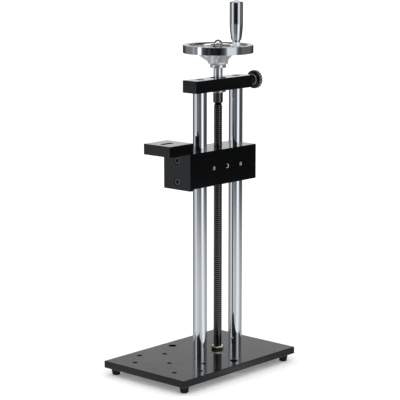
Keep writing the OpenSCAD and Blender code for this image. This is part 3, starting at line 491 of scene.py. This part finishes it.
# lead screw with a real trapezoidal thread
threadSet = {"crest": 6.0, "root": 5.4, "pitch": 3.0, "low": 26.15, "high": 379.0, "turnSteps": 36, "shade": 25,
             "profile": [("root", 0.0), ("root", 0.85), ("crest", 1.05), ("crest", 2.8), ("root", 3.0)],
             "foot": [(0, 12.0), (3, 12.0, 0.4), (3, 26.2), (4.6, 26.8), (0, 26.8)], "footSteps": 48,
             "neck": [(0, 378.5), (4.8, 378.5), (4.8, 382.0), (6.0, 382.0), (7.0, 383.0), (7.0, 396.2, 0.4),
                      (4.0, 396.2), (4.0, 465.2, 0.6), (0, 465.2)], "neckSteps": 96}


def helicalThread(spec):
    bm = bmesh.new()
    pitch = spec["pitch"]
    start = spec["low"] - 2 * pitch
    turns = math.ceil((spec["high"] - start) / pitch) + 2
    profileWire(bm, [(spec[part], start + rise) for part, rise in spec["profile"]])
    bmesh.ops.spin(bm, geom=bm.verts[:] + bm.edges[:], cent=(0, 0, 0), axis=(0, 0, 1),
                   dvec=(0, 0, pitch / spec["turnSteps"] * mm), angle=2 * math.pi,
                   steps=spec["turnSteps"], use_merge=False, use_duplicate=False)
    made = 1
    while made < turns:  # doubled until the thread is long enough, then cut
        copy = bmesh.ops.duplicate(bm, geom=bm.verts[:] + bm.edges[:] + bm.faces[:])
        fresh = [g for g in copy["geom"] if isinstance(g, bmesh.types.BMVert)]
        bmesh.ops.translate(bm, verts=fresh, vec=(0, 0, pitch * made * mm))
        made *= 2
    bmesh.ops.remove_doubles(bm, verts=bm.verts[:], dist=2e-6)
    for level, side in ((spec["low"], -1), (spec["high"], 1)):
        cut = bmesh.ops.bisect_plane(bm, geom=bm.verts[:] + bm.edges[:] + bm.faces[:], dist=1e-7,
                                     plane_co=(0, 0, level * mm), plane_no=(0, 0, side), clear_outer=True)
        rim = [g for g in cut["geom_cut"] if isinstance(g, bmesh.types.BMEdge)]
        bmesh.ops.holes_fill(bm, edges=rim, sides=0)
    bmesh.ops.recalc_face_normals(bm, faces=bm.faces[:])
    return bm


screw = helicalThread(threadSet)
pour(screw, lathe(threadSet["foot"], threadSet["footSteps"]))
pour(screw, lathe(threadSet["neck"], threadSet["neckSteps"]))
moveAll(screw, 0, spindleY, 0)
finishPiece(screw, "threaded_lead_screw", finish["screw"], "spindle", ["lead_screw"],
            threadSet["shade"])
print("lead screw done")

# rubber seals of the two bearings, with a shallow groove on top
sealSet = {"levels": (410.2, 415.9, 398.2, 403.9),
           "section": [(6.2, 0.0), (9.06, 0.0), (9.06, 0.5), (8.6, 0.5, 0.1), (8.2, 0.3, 0.1), (6.9, 0.3, 0.1),
                       (6.5, 0.5, 0.1), (6.2, 0.5)]}
seals = bmesh.new()
for level in sealSet["levels"]:
    one = lathe([(p[0], level + p[1], *p[2:]) for p in sealSet["section"]], closed=True)
    moveAll(one, 0, spindleY, 0)
    pour(seals, one)
finishPiece(seals, "bearing_rubber_seals", finish["rubber"], "frame",
            ["upper_bearing_shields", "lower_bearing_shields"])
print("bearing seals done")

# bright sleeve and cap nut
sleeveSet = {"outline": [(4.03, 416.8), (6.5, 416.8, 0.4), (6.5, 432.0), (11.35, 432.0, 1.0),
                         (11.35, 436.5, 1.0), (4.03, 436.5)]}
sleeve = lathe(sleeveSet["outline"], closed=True)
moveAll(sleeve, 0, spindleY, 0)
finishPiece(sleeve, "turned_flanged_sleeve", finish["sleeve"], "spindle", ["flanged_sleeve"])

nutSet = {"flats": 13, "low": 456.6, "hexH": 7.5, "edge": 0.5,
          "dome": [(0, 463.0), (6.25, 463.0), (6.25, 471.6, 6.2, 24), (0, 471.6)]}
nut = bmesh.new()
cornerR = nutSet["flats"] / math.sqrt(3) * mm
made = bmesh.ops.create_cone(nut, cap_ends=True, cap_tris=False, segments=6, radius1=cornerR, radius2=cornerR,
                             depth=nutSet["hexH"] * mm)
bmesh.ops.translate(nut, verts=made["verts"], vec=(0, 0, (nutSet["low"] + nutSet["hexH"] / 2) * mm))
softenEdges(nut, nutSet["edge"], 3)
pour(nut, lathe(nutSet["dome"]))
moveAll(nut, 0, spindleY, 0)
finishPiece(nut, "domed_cap_nut", finish["nut"], "spindle", ["cap_nut"])
print("sleeve and cap nut done")

# handwheel: polished rim, cast hub and spokes
wheelSet = {"rim": [(39, 453.3, 4.0), (50, 453.3, 0.3), (50, 464.4, 0.3), (39, 464.4, 4.0)], "rimSteps": 192,
            "hub": [(0, 436.5), (14.5, 436.5, 3.5), (14.5, 455.0, 1.0), (0, 455.0)],
            "boss": [(0, 454.0), (7.0, 454.0, 0.8), (7.0, 465.2, 0.5), (0, 465.2)], "bossSteps": 64,
            "spokeAngles": (-33, 87, 207), "spokeT": 7.0, "spokeW": 11.0, "spokeSides": 28, "spokeSteps": 6,
            "root": 9.06, "bend": 8.0, "slope": 33.5, "level": 37.0, "levelZ": 457.4, "flat": 7.5,
            "shade": 60, "voxel": 0.55, "ease": 0.5, "easeTimes": 12}
rim = lathe(wheelSet["rim"], wheelSet["rimSteps"], closed=True)
moveAll(rim, 0, spindleY, 0)
finishPiece(rim, "polished_wheel_rim", finish["rim"], "spindle", ["handwheel"])

# the handle stands in a boss on the wheel, so both are placed by this
handleSet = {"r": 40.5, "angle": -10, "low": 470.75, "foot": 473.75, "top": 526.55, "gripR": 9.4, "footR": 7.25,
             "neckR": 5.5, "boreR": 3.05, "taper": 25.0, "taperSteps": 12, "chamfer": 0.8, "smallEdge": 0.3,
             "topEdge": 0.9, "studSteps": 64,
             "stud": [(0, 454.8), (3, 454.8), (3, 465.2), (5.8, 465.2, 0.2), (5.8, 470.6, 0.7), (3, 470.6),
                      (3, 526.7), (3.7, 526.7), (3.3, 528.05, 0.8), (1.7, 528.95, 0.8), (0, 529.1)]}


def toHandle(bm):
    moveAll(bm, handleSet["r"], 0, 0)
    turnAll(bm, handleSet["angle"], "Z")


def spokeBar(bm, spec, angle):
    # oval section swept up the slope, round the bend and level into the rim
    made = bmesh.ops.create_circle(bm, cap_ends=False, segments=spec["spokeSides"], radius=spec["spokeT"] / 2 * mm)
    verts = made["verts"]
    widen = (spec["spokeW"] - spec["spokeT"]) / 2 * mm
    for v in verts:
        v.co.y += math.copysign(widen, v.co.y) if abs(v.co.y) > 1e-7 else 0
    slope = math.radians(spec["slope"])
    bendR = spec["level"] - spec["bend"] * math.sin(slope)
    bendZ = spec["levelZ"] - spec["bend"] * (1 - math.cos(slope))
    barL = (bendR - spec["root"]) / math.cos(slope)
    along = Vector((math.cos(slope), 0, math.sin(slope)))
    bmesh.ops.rotate(bm, verts=verts, cent=(0, 0, 0), matrix=Matrix.Rotation(math.pi / 2 - slope, 3, "Y"))
    start = (Vector((bendR, 0, bendZ)) - along * barL) * mm
    bmesh.ops.translate(bm, verts=verts, vec=start)
    loop = list({e for v in verts for e in v.link_edges})

    def push(edges, vec):
        out = bmesh.ops.extrude_edge_only(bm, edges=edges)
        fresh = [g for g in out["geom"] if isinstance(g, bmesh.types.BMVert)]
        bmesh.ops.translate(bm, verts=fresh, vec=vec)
        return [g for g in out["geom"] if isinstance(g, bmesh.types.BMEdge)
                and g.verts[0] in fresh and g.verts[1] in fresh]

    for _ in range(spec["spokeSteps"]):
        loop = push(loop, along * barL / spec["spokeSteps"] * mm)
    ends = list({v for e in loop for v in e.verts})
    bent = bmesh.ops.spin(bm, geom=ends + loop, cent=(spec["level"] * mm, 0, (spec["levelZ"] - spec["bend"]) * mm),
                          axis=(0, 1, 0), dvec=(0, 0, 0), angle=slope, steps=spec["spokeSteps"], use_merge=False,
                          use_duplicate=False)
    loop = [g for g in bent["geom_last"] if isinstance(g, bmesh.types.BMEdge)]
    push(loop, Vector((spec["flat"], 0, 0)) * mm)
    bmesh.ops.holes_fill(bm, edges=[e for e in bm.edges if e.is_boundary], sides=0)
    turnAll(bm, angle, "Z")


body = lathe(wheelSet["hub"])
for angle in wheelSet["spokeAngles"]:
    arm = bmesh.new()
    spokeBar(arm, wheelSet, angle)
    cleanUp(arm)
    pour(body, arm)
boss = lathe(wheelSet["boss"], wheelSet["bossSteps"])
toHandle(boss)
pour(body, boss)
moveAll(body, 0, spindleY, 0)
cast = finishPiece(body, "cast_hub_and_spokes", finish["cast"], "spindle", ["handwheel"],
                   wheelSet["shade"])
cast.modifiers.clear()
skin = cast.modifiers.new("castSkin", "REMESH")  # melts hub, spokes and boss into one casting
skin.mode = "VOXEL"
skin.voxel_size = wheelSet["voxel"] * mm
skin.use_smooth_shade = True
ease = cast.modifiers.new("castFillet", "SMOOTH")
ease.factor = wheelSet["ease"]
ease.iterations = wheelSet["easeTimes"]
print("handwheel done")

# revolving handle
h = handleSet
swell = [(h["footR"] + (h["gripR"] - h["footR"]) * math.sin(math.pi / 2 * i / h["taperSteps"]),
          h["foot"] + h["chamfer"] + h["taper"] * i / h["taperSteps"]) for i in range(h["taperSteps"] + 1)]
grip = lathe([(h["boreR"], h["low"]), (h["neckR"], h["low"], h["smallEdge"]), (h["neckR"], h["foot"]),
              (h["footR"] - h["chamfer"], h["foot"], h["smallEdge"])] + swell
             + [(h["gripR"], h["top"], h["topEdge"]), (h["boreR"], h["top"])], closed=True)
toHandle(grip)
moveAll(grip, 0, spindleY, 0)
finishPiece(grip, "chrome_handle_grip", finish["bright"], "grip", ["handle_grip"])
stud = lathe(h["stud"], h["studSteps"])
toHandle(stud)
moveAll(stud, 0, spindleY, 0)
finishPiece(stud, "handle_stud_turned", finish["stud"], "spindle", ["handle_stud"])
print("handle done")

# thumb screw knob with a fluted head
knobSet = {"y": 96.65, "boreR": 3.05, "collarR": 7.25, "collarL": 14.6, "collarEdge": 0.4, "coneR": 9.9, "coneL": 2.0,
           "headR": 13.25, "headT": 6.5, "headEdge": 0.8, "flutes": 20, "fluteSteps": 12, "fluteDeep": 1.3,
           "fluteShape": 1.5, "fluteFrom": 11.9, "shade": 30}
k = knobSet
headLow = k["collarL"] + k["coneL"]
headHigh = headLow + k["headT"]
knob = lathe([(k["boreR"], 0), (k["collarR"], 0, k["collarEdge"]), (k["collarR"], k["collarL"]), (k["coneR"], headLow),
              (k["headR"], headLow, k["headEdge"]), (k["headR"], headHigh, k["headEdge"]), (0, headHigh),
              (0, k["collarL"]), (k["boreR"], k["collarL"])], k["flutes"] * k["fluteSteps"], closed=True)
for v in knob.verts:
    radius = v.co.to_2d().length / mm
    if radius > k["fluteFrom"]:
        wave = max(0.0, math.cos(k["flutes"] * math.atan2(v.co.y, v.co.x)))
        v.co.xy *= 1 - k["fluteDeep"] * wave ** k["fluteShape"] / radius
turnAll(knob, -90, "X")
moveAll(knob, 0, k["y"], knobAxisZ)
finishPiece(knob, "fluted_thumb_knob", finish["knob"], "thumb_head", ["thumb_knob"], k["shade"])
print("thumb knob done")

# bare metal in the carriage's side holes: the outer two drilled to a point, the middle one only countersunk
mouthSet = {"x": 25.0, "z": 294.5, "steps": 48, "holes": [
    {"rows": (0.0, 57.0), "outline": [(0, -7.9), (2.07, -6.7), (2.07, -0.62), (2.67, -0.02), (2.67, -0.3),
                                      (2.35, -0.7), (2.35, -6.8), (0, -8.0)]},
    {"rows": (28.5,), "outline": [(2.47, -1.2), (2.47, -0.62), (3.07, -0.02), (3.07, -0.3), (2.75, -0.7),
                                  (2.75, -1.2)]}]}
mouths = bmesh.new()
for hole in mouthSet["holes"]:
    for y in hole["rows"]:
        one = lathe(hole["outline"], mouthSet["steps"], closed=True)
        turnAll(one, 90, "Y")
        moveAll(one, mouthSet["x"], y, mouthSet["z"])
        pour(mouths, one)
finishPiece(mouths, "side_hole_mouths", finish["paleGrey"], "carriage")
print("side hole mouths done")


def stageSheet(bm, name):
    mesh = bpy.data.meshes.new(name)
    bm.to_mesh(mesh)
    bm.free()
    sheet = bpy.data.objects.new(name, mesh)
    scene.collection.objects.link(sheet)
    return sheet


def pick(tree, fac, first, second):
    node = tree.nodes.new("ShaderNodeMixShader")
    tree.links.new(fac, node.inputs["Fac"])
    tree.links.new(first, node.inputs[1])
    tree.links.new(second, node.inputs[2])
    return node.outputs["Shader"]


# floor: plain and pale, but bright metal sees the table lit in bands, paler close by, and the room beyond it
floorSet = {"half": 12, "dark": (0.9, 0.9, 0.9), "light": (0.92, 0.92, 0.92), "mottle": (3, 2), "turn": 48.0,
            "cool": (0.93, 1.0, 1.07), "nearCool": (0.92, 0.97, 1.01), "span": 5,
            "fixed": {"Roughness": 0.9, "Specular IOR Level": 0.0, "Emission Color": (1, 1, 1, 1),
                      "Emission Strength": 0.16},  # the emission opens up the shadow
            "reach": [(0.0, 1.0), (3.5, 1.0), (4.1, 0.0)],
            "nearShare": [(0.0, 1.0), (0.5, 1.0), (0.85, 0.74), (1.13, 0.43), (1.42, 0.17), (1.65, 0.03), (2.0, 0.0)],
            "near": [(-180, 0.25), (-133, 0.3), (-101, 0.36), (-78, 0.66), (-60, 0.87), (-42, 0.68), (-20, 0.6),
                     (8, 0.52), (26, 0.7), (36, 0.98), (54, 1.0), (64, 0.82), (83, 0.6), (107, 0.44), (142, 0.3),
                     (180, 0.25)],
            "bands": [(-180, 0.2), (-150, 0.08), (-122, 0.09), (-100, 0.34), (-86, 0.68), (-54, 0.68), (-44, 0.13),
                      (-24, 0.19), (-10, 0.12), (12, 0.08), (19, 0.24), (28, 0.85), (36, 1.2), (50, 1.2),
                      (59, 0.5), (68, 0.12), (80, 0.065), (106, 0.055), (128, 0.1), (150, 0.2), (180, 0.2)]}
floorMesh = bmesh.new()
bmesh.ops.create_grid(floorMesh, x_segments=1, y_segments=1, size=floorSet["half"])
floor = stageSheet(floorMesh, "paleFloor")
floorMat, tree, floorShader, spot = surface("paleFloorPaint", floorSet)
axes = axesOf(tree, spot)
bearing = bearingOf(tree, axes["X"], calc(tree, "SUBTRACT", axes["Y"], spindleY * mm), floorSet["turn"])
round360 = calc(tree, "DIVIDE", bearing, 360)
tableBands = greySteps(tree, round360, floorSet["bands"], -180, 180, floorSet["cool"])
nearBands = greySteps(tree, round360, floorSet["near"], -180, 180, floorSet["nearCool"])
distance = calc(tree, "DIVIDE", lengthOf(tree, spot), floorSet["span"])
tableMix = tree.nodes.new("ShaderNodeMix")
tableMix.data_type = "RGBA"
tree.links.new(greySteps(tree, distance, floorSet["nearShare"], 0, floorSet["span"]), tableMix.inputs["Factor"])
tree.links.new(tableBands, tableMix.inputs["A"])
tree.links.new(nearBands, tableMix.inputs["B"])
fade = greySteps(tree, distance, floorSet["reach"], 0, floorSet["span"])
clear = tree.nodes.new("ShaderNodeBsdfTransparent")
glow = tree.nodes.new("ShaderNodeEmission")
tree.links.new(tableMix.outputs["Result"], glow.inputs["Color"])
tableGlow = pick(tree, fade, clear.outputs["BSDF"], glow.outputs["Emission"])
rays = tree.nodes.new("ShaderNodeLightPath")
floorLook = pick(tree, rays.outputs["Is Glossy Ray"], floorShader.outputs["BSDF"], tableGlow)
tree.links.new(floorLook, tree.nodes["Material Output"].inputs["Surface"])
floor.data.materials.append(floorMat)

# a grey card behind the handwheel, seen only by shiny faces
cardSet = {"behind": 420, "wide": 1200, "low": 515, "high": 800, "turn": 42, "grain": (5, 2), "glow": (0.2688, 0.28)}
sheet = bmesh.new()
made = bmesh.ops.create_grid(sheet, x_segments=1, y_segments=1, size=0.5)
bmesh.ops.scale(sheet, verts=made["verts"],
                vec=(cardSet["wide"] * mm, (cardSet["high"] - cardSet["low"]) * mm, 1))
turnAll(sheet, 90, "X")
moveAll(sheet, 0, cardSet["behind"], (cardSet["low"] + cardSet["high"]) / 2)
turnAll(sheet, cardSet["turn"], "Z")
moveAll(sheet, 0, spindleY, 0)
card = stageSheet(sheet, "highCard")
cardMat, tree, cardShader, spot = startFinish("highCardPaper")
cardShader.inputs["Base Color"].default_value = (0, 0, 0, 1)
cardShader.inputs["Specular IOR Level"].default_value = 0.0
cardShader.inputs["Emission Strength"].default_value = 1.0
dull, bright = cardSet["glow"]
tree.links.new(tint(tree, patterned(tree, spot, cardSet["grain"]), (dull,) * 3, (bright,) * 3),
               cardShader.inputs["Emission Color"])
card.data.materials.append(cardMat)
card.visible_camera = False
card.visible_diffuse = False
card.visible_shadow = False
card.visible_transmission = False
print("floor and card done")

# room light: even for plain surfaces, banded for the shiny ones; zones are in height of the ray or degrees aside
roomSet = {"turn": 48.0, "cool": (0.95, 1.0, 1.06), "seen": 1.0, "diffuse": 1.12, "tall": 1.4, "tallZone": (0.06, 0.16),
           "rearZone": (125, 155), "behind": 1.2, "behindZone": (0.02, 0.08), "higher": 0.8,
           "higherZone": (0.145, 0.18), "overhead": 1.1, "overheadZone": (0.32, 0.52), "dim": 0.07,
           "dimZone": (0.29, 0.36), "dimAside": (50, 85), "below": 0.7, "belowZone": (-0.3, -0.6),
           "bands": [(-180, 0.06), (-148, 0.06), (-124, 0.23), (-94, 0.23), (-88, 0.46), (-79, 0.23), (-72, 0.24),
                     (-69, 1.4), (-60, 1.45), (-54, 0.09), (-37, 0.018), (-30, 0.06), (-24, 0.006), (-12, 0.012),
                     (4, 0.002), (16, 0.05), (25, 0.17), (31, 0.84), (58, 0.82), (67, 0.11), (77, 0.075),
                     (88, 0.145), (130, 0.145), (150, 0.07), (180, 0.06)]}
world = bpy.data.worlds.new("softRoom")
scene.world = world
world.use_nodes = True
tree = world.node_tree
for node in list(tree.nodes):
    tree.nodes.remove(node)
out = tree.nodes.new("ShaderNodeOutputWorld")
coord = tree.nodes.new("ShaderNodeTexCoord")
ray = axesOf(tree, coord.outputs["Generated"])


def backdrop(level):
    node = tree.nodes.new("ShaderNodeBackground")
    node.inputs["Strength"].default_value = level
    node.inputs["Color"].default_value = (1, 1, 1, 1)
    return node


bearing = bearingOf(tree, ray["X"], ray["Y"], roomSet["turn"])
bands = greySteps(tree, calc(tree, "DIVIDE", bearing, 360), roomSet["bands"], -180, 180, roomSet["cool"])
upper = tree.nodes.new("ShaderNodeVectorMath")  # the light panels are stronger above table height
upper.operation = "SCALE"
tree.links.new(bands, upper.inputs["Vector"])
tallShare = soften(tree, ray["Z"], *roomSet["tallZone"])
tree.links.new(calc(tree, "ADD", calc(tree, "MULTIPLY", tallShare, roomSet["tall"]), 1.0), upper.inputs["Scale"])
aside = calc(tree, "ABSOLUTE", calc(tree, "SUBTRACT", bearing, 180))
rear = soften(tree, aside, *roomSet["rearZone"])
mirror = upper.outputs["Vector"]
for zone in ("behind", "higher"):
    share = calc(tree, "MULTIPLY", soften(tree, ray["Z"], *roomSet[zone + "Zone"]), rear)
    mirror = blendColour(tree, share, mirror, roomSet[zone])
mirror = blendColour(tree, soften(tree, ray["Z"], *roomSet["overheadZone"]), mirror, roomSet["overhead"])
dimShare = calc(tree, "MULTIPLY", soften(tree, ray["Z"], *roomSet["dimZone"]),
                soften(tree, aside, *roomSet["dimAside"]))
mirror = blendColour(tree, dimShare, mirror, roomSet["dim"])
mirror = blendColour(tree, soften(tree, ray["Z"], *roomSet["belowZone"]), mirror, roomSet["below"])
studio = backdrop(1.0)
tree.links.new(mirror, studio.inputs["Color"])
rays = tree.nodes.new("ShaderNodeLightPath")
lit = pick(tree, rays.outputs["Is Glossy Ray"], backdrop(roomSet["diffuse"]).outputs["Background"],
           studio.outputs["Background"])
shown = pick(tree, rays.outputs["Is Camera Ray"], lit, backdrop(roomSet["seen"]).outputs["Background"])
tree.links.new(shown, out.inputs["Surface"])
print("room light done")
